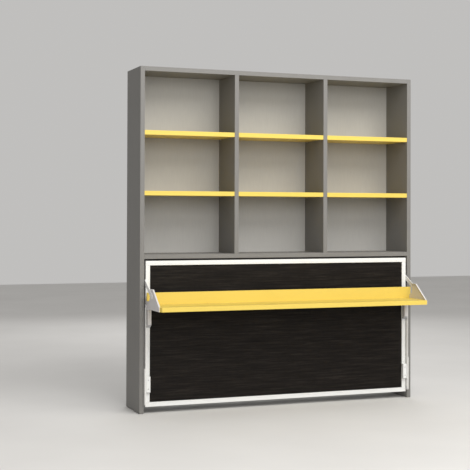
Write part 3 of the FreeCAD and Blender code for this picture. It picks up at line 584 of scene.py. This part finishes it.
def divided(points, longest):
    """The same path with no stretch longer than a limit."""
    made = [points[0]]
    for a, b in zip(points, points[1:]):
        parts = max(1, math.ceil((b - a).length / longest))
        made += [a.lerp(b, part / parts) for part in range(1, parts + 1)]
    return made


def strip(bm, path, x, width):
    """Webbing along a path in the Y-Z plane, thinner towards its two borders."""
    section = []
    for side in (1, -1):
        for k in range(ACROSS + 1):
            u = side * (2.0 * k / ACROSS - 1.0)
            thin = 1.0 - BORDER_THINNING * abs(u) ** BORDER_POWER
            section.append((u * width / 2.0, side * STRAP_THICK / 2.0 * thin))
    rings = []
    for n, point in enumerate(path):
        ahead = path[min(n + 1, len(path) - 1)] - path[max(n - 1, 0)]
        normal = Vector((1, 0, 0)).cross(ahead).normalized()
        rings.append([
            bm.verts.new(point + Vector((x + off, 0, 0)) + normal * lift)
            for off, lift in section
        ])
    skinned(bm, rings)


def stitch(bm, start, way):
    """One stitch that stands on the webbing as a short bowed thread."""
    side = way.cross(BACKWARD)
    rings = []
    for t in STITCH_PLACES:
        bow = math.sin(math.pi * t)
        rise = bow * STITCH_RADIUS * STITCH_RISE
        centre = start + way * STITCH_LENGTH * t + BACKWARD * rise
        thick = STITCH_RADIUS * (STITCH_TIP + (1.0 - STITCH_TIP) * bow)
        rings.append(round_ring(bm, centre, thick, side, BACKWARD, STITCH_SIDES))
    skinned(bm, rings)


def sewn_end(tape, threads, edge, way, x):
    """The end of a strap, folded over and sewn down; the strap runs on up (1) or down (-1)."""
    fold = [
        edge + Vector((0, STRAP_THICK, way * (FOLD_START + FOLD_STEP * k)))
        for k in range(FOLD_POINTS)
    ]
    strip(tape, fold, x, STRAP_WIDTH - FOLD_NARROWER)
    surface = Vector((x, edge.y + STRAP_THICK * FOLD_SURFACE, edge.z))
    for row in CROSS_ROWS:
        for k in range(CROSS_COUNT):
            place = Vector((CROSS_PITCH * k - STITCH_EDGE, 0, way * row))
            stitch(threads, surface + place, Vector((1, 0, 0)))
    for column in (-STITCH_EDGE, STITCH_EDGE):
        for k in range(LONG_COUNT):
            place = Vector((column, 0, way * (LONG_START + LONG_PITCH * k)))
            stitch(threads, surface + place, Vector((0, 0, way)))


def straps():
    """Two webbing straps round the mattress, with folded and stitched ends."""
    low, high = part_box("mattress_straps")
    bed_low, bed_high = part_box("mattress")
    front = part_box("frame_bottom_rail")[1].y + STRAP_THICK / 2.0 + STRAP_CLEAR
    back = bed_high.y - STRAP_CLEAR
    bottom, top = bed_low.z - STRAP_LOOSE, bed_high.z + STRAP_LOOSE
    corners = [Vector((0, y, z)) for y, z in (
        (front, low.z + STRAP_TUCK), (front, bottom), (back, bottom),
        (back, top), (front, top), (front, high.z - STRAP_TUCK),
    )]
    path = divided(rounded_path(corners, STRAP_RADII), STRAP_STEP)
    tape = bmesh.new()
    threads = bmesh.new()
    for side in (-1, 1):
        x = side * (high.x - STRAP_FROM_END)
        strip(tape, path, x, STRAP_WIDTH)
        sewn_end(tape, threads, corners[0], 1, x)
        sewn_end(tape, threads, corners[-1], -1, x)
    facing_out(tape)
    facing_out(threads)
    piece = add_mesh("mattress_webbing", tape, webbing, smooth=50.0)
    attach(piece, "bed")
    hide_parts("mattress_straps")
    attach(add_mesh("webbing_stitches", threads, thread), "bed")


mattress()
mattress_piping("mattress_piping_front", -1)
mattress_piping("mattress_piping_back", 1)
straps()


# ---- Floor, light and camera -----------------------------------------------------
FLOOR_HALF = 14.0
FLOOR_DROP = 0.0005  # keeps the floor just under the glides and feet

YAW, PITCH, ROLL = 0.3662, 0.0128, 0.0029  # radians; the yaw is from +Y towards +X
CAMERA_PLACE = (-3.1106, -7.2051, 1.3224)
LENS, SENSOR = 86.47, 36.0  # mm
SHIFT_Y = -0.0745  # the photograph's framing
FAR_CLIP = 100.0

SKY = (0.80, 0.79, 0.775, 1.0)
SKY_STRENGTH = 0.66


def floor():
    """Plain pale floor."""
    bm = bmesh.new()
    bmesh.ops.create_grid(bm, x_segments=8, y_segments=8, size=FLOOR_HALF)
    m = Mat("pale_floor")
    cloud = m.noise(0.8)
    finish = m.done(
        Base_Color=m.between(cloud, (0.60, 0.59, 0.575), (0.64, 0.63, 0.615)),
        Roughness=0.7,
        Specular_IOR_Level=0.2,
    )
    piece = add_mesh("floor", bm, finish)
    piece.location.z = -FLOOR_DROP


def area_light(name, place, target, size, power, colour=(1, 1, 1)):
    light = bpy.data.lights.new(name, "AREA")
    light.shape = "RECTANGLE"
    light.size, light.size_y = size
    light.energy = power
    light.color = colour
    lamp = bpy.data.objects.new(name, light)
    lamp.location = place
    aim = Vector(target) - Vector(place)
    lamp.rotation_euler = aim.to_track_quat("-Z", "Y").to_euler()
    bpy.context.scene.collection.objects.link(lamp)


def camera():
    """The photograph's viewing angle."""
    ahead = Vector((
        math.sin(YAW) * math.cos(PITCH), math.cos(YAW) * math.cos(PITCH), math.sin(PITCH),
    ))
    level = Vector((math.cos(YAW), -math.sin(YAW), 0.0))
    upright = level.cross(ahead)
    right = level * math.cos(ROLL) + upright * math.sin(ROLL)
    up = upright * math.cos(ROLL) - level * math.sin(ROLL)
    data = bpy.data.cameras.new("camera")
    data.sensor_width = SENSOR
    data.lens = LENS
    data.shift_y = SHIFT_Y
    data.clip_end = FAR_CLIP
    eye = bpy.data.objects.new("camera", data)
    turn = Matrix((right, up, -ahead)).transposed().to_4x4()
    eye.matrix_world = Matrix.Translation(CAMERA_PLACE) @ turn
    bpy.context.scene.collection.objects.link(eye)
    bpy.context.scene.camera = eye


def studio():
    """Even light from all round, besides the lamps, and colours shown as they are."""
    world = bpy.data.worlds.new("studio")
    world.use_nodes = True
    sky = world.node_tree.nodes["Background"]
    sky.inputs["Color"].default_value = SKY
    sky.inputs["Strength"].default_value = SKY_STRENGTH
    bpy.context.scene.world = world
    bpy.context.scene.view_settings.view_transform = "Standard"


floor()
area_light(
    "key", place=(-0.8, -7.6, 3.3), target=(0, 0, 1.6),
    size=(4.6, 3.0), power=245.0, colour=(1.0, 0.995, 0.98),
)
area_light(
    "overhead", place=(0.9, -3.6, 4.9), target=(0, -0.3, 1.4),
    size=(4.6, 2.2), power=245.0, colour=(1.0, 0.99, 0.97),
)
area_light(
    "back", place=(1.6, 5.6, 3.4), target=(0, 0.3, 1.0), size=(4.0, 3.0), power=90.0,
)
camera()
studio()
